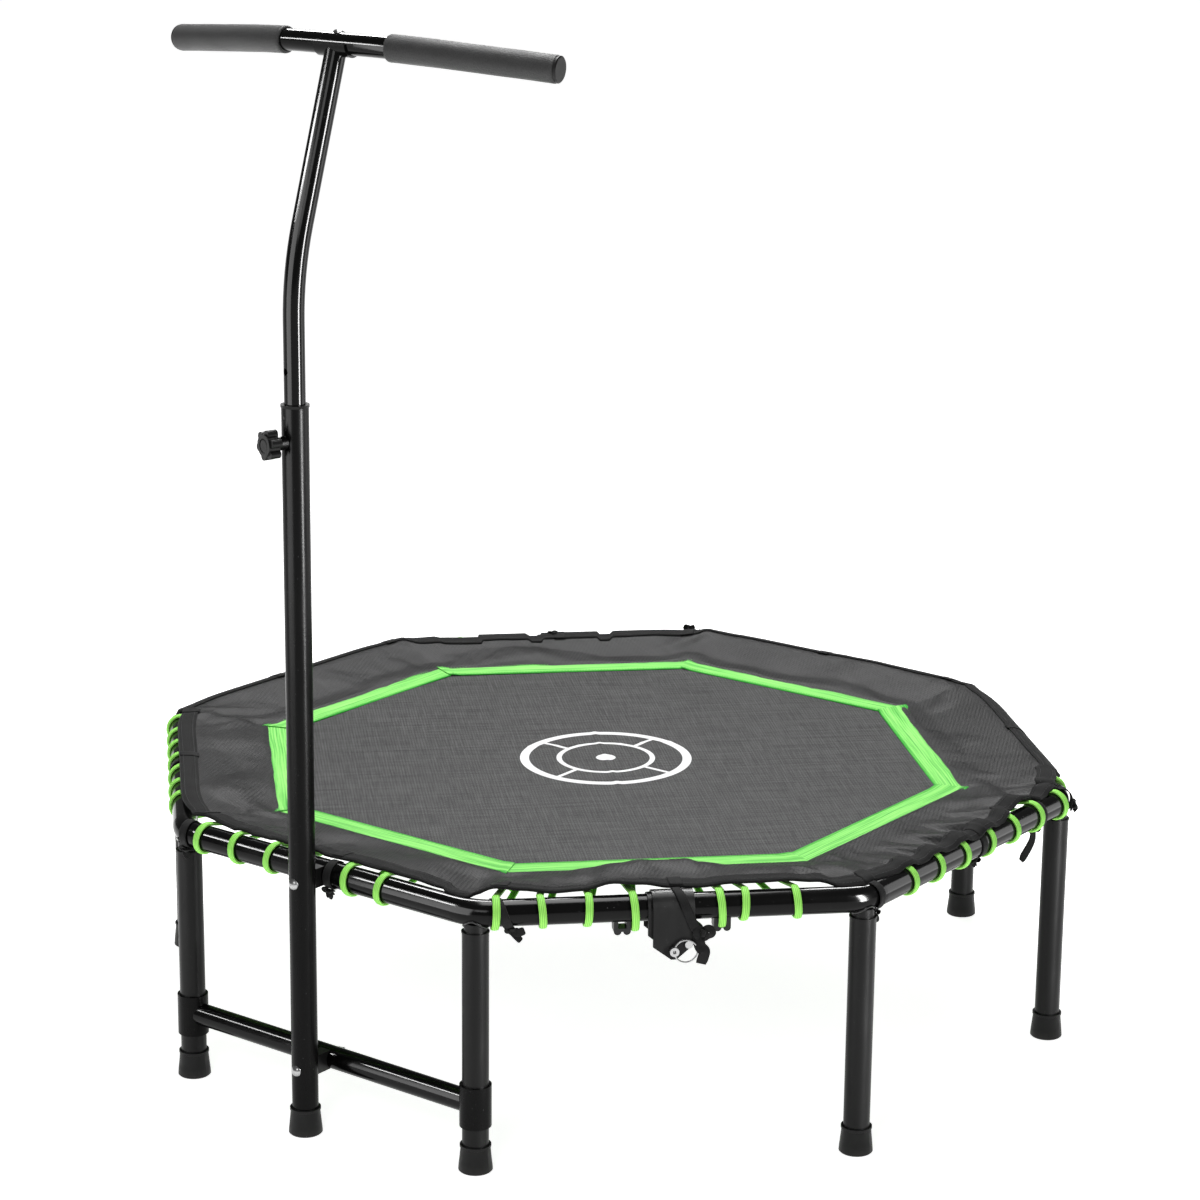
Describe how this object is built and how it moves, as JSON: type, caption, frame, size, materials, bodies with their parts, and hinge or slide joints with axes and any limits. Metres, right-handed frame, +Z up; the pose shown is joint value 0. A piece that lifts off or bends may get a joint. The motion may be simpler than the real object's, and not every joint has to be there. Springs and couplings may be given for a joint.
{
  "type": "mini trampoline",
  "caption": "Folding octagonal mini trampoline on short tubular legs, with an elastic-corded mat, a soft edge cover and a T-shaped handle that slides in a post.",
  "frame": {"origin": "centre of the footprint on the floor", "axes": "+Z up; the handle post stands on the -Y side; the fold line runs along (1, -1, 0), a little towards +Y of the origin"},
  "size_m": [1.155, 1.2204, 1.3173],
  "materials": {
    "black_paint": "gloss",
    "black_rubber": "satin",
    "grip_foam": "matte",
    "black_plastic": "satin",
    "bright_zinc": "bright",
    "plain_steel": "plain",
    "mat_weave": "woven",
    "green_webbing": "woven",
    "skirt_fabric": "woven",
    "green_cord": "braided",
    "black_tape": "woven"
  },
  "bodies": {
    "fixed_half": {"frame_tube_left": "black_paint", "leg_studs_left": "black_paint", "leg_1": "black_paint", "leg_2": "black_paint", "leg_7": "black_paint", "leg_8": "black_paint", "crossbar_sleeve_left": "black_paint", "crossbar_sleeve_right": "black_paint", "crossbar": "black_paint", "handle_post": "black_paint", "knob_boss": "black_paint", "hinge_inner_front": "black_paint", "hinge_inner_rear": "black_paint", "feet_left": "black_rubber", "handle_post_foot": "black_rubber", "post_bushing": "black_plastic", "frame_spacer": "black_plastic", "crossbar_spacer": "black_plastic", "cord_keepers_left": "black_plastic", "post_bolts": "bright_zinc", "post_nuts": "bright_zinc", "hinge_rivets": "bright_zinc", "mat_rods_left": "plain_steel", "mat_left": "mat_weave", "mat_band_left": "green_webbing", "skirt_left": "skirt_fabric", "cord_loops_left": "green_cord", "skirt_ties_left": "black_tape"},
    "folding_half": {"frame_tube_right": "black_paint", "leg_studs_right": "black_paint", "leg_3": "black_paint", "leg_4": "black_paint", "leg_5": "black_paint", "leg_6": "black_paint", "feet_right": "black_rubber", "hinge_outer_front": "black_paint", "hinge_outer_rear": "black_paint", "mat_right": "mat_weave", "mat_band_right": "green_webbing", "skirt_right": "skirt_fabric", "cord_loops_right": "green_cord", "mat_rods_right": "plain_steel", "skirt_ties_right": "black_tape", "cord_keepers_right": "black_plastic"},
    "handle": {"inner_tube": "black_paint", "inner_tube_guide": "black_plastic", "handlebar": "black_paint", "bar_saddle": "black_paint", "handlebar_bolt": "bright_zinc", "handlebar_nut": "bright_zinc", "grip_left": "grip_foam", "grip_right": "grip_foam", "bar_end_plugs": "black_plastic"},
    "height_knob": {"height_knob": "black_plastic", "knob_stud": "bright_zinc", "knob_cap": "black_plastic"},
    "lock_pin_front": {"lock_pin_front": "bright_zinc"},
    "lock_pin_rear": {"lock_pin_rear": "bright_zinc"},
    "pull_ring_front": {"pull_ring_front": "bright_zinc"},
    "pull_ring_rear": {"pull_ring_rear": "bright_zinc"}
  },
  "joints": [
    {"name": "fold", "type": "hinge", "parent": "fixed_half", "child": "folding_half", "pos_m": [0.01252, 0.04352, 0.282], "axis": [-0.7071, 0.7071, 0], "range_deg": [0, 68]},
    {"name": "handle_height", "type": "slide", "parent": "fixed_half", "child": "handle", "axis": [0, 0, 1], "range_m": [-0.082, 0.082]},
    {"name": "knob_turn", "type": "hinge", "parent": "fixed_half", "child": "height_knob", "pos_m": [0, -0.567, 0.855], "axis": [-0.2756, -0.9613, 0], "continuous": true},
    {"name": "lock_pin_front_pull", "type": "slide", "parent": "folding_half", "child": "lock_pin_front", "axis": [0.7071, -0.7071, 0], "range_m": [0, 0.05]},
    {"name": "lock_pin_rear_pull", "type": "slide", "parent": "folding_half", "child": "lock_pin_rear", "axis": [-0.7071, 0.7071, 0], "range_m": [0, 0.05]},
    {"name": "pull_ring_front_swing", "type": "hinge", "parent": "lock_pin_front", "child": "pull_ring_front", "pos_m": [0.41143, -0.38043, 0.275], "axis": [0, 0, -1], "range_deg": [0, 150]},
    {"name": "pull_ring_rear_swing", "type": "hinge", "parent": "lock_pin_rear", "child": "pull_ring_rear", "pos_m": [-0.41143, 0.44243, 0.275], "axis": [0, 0, -1], "range_deg": [0, 150]}
  ]
}
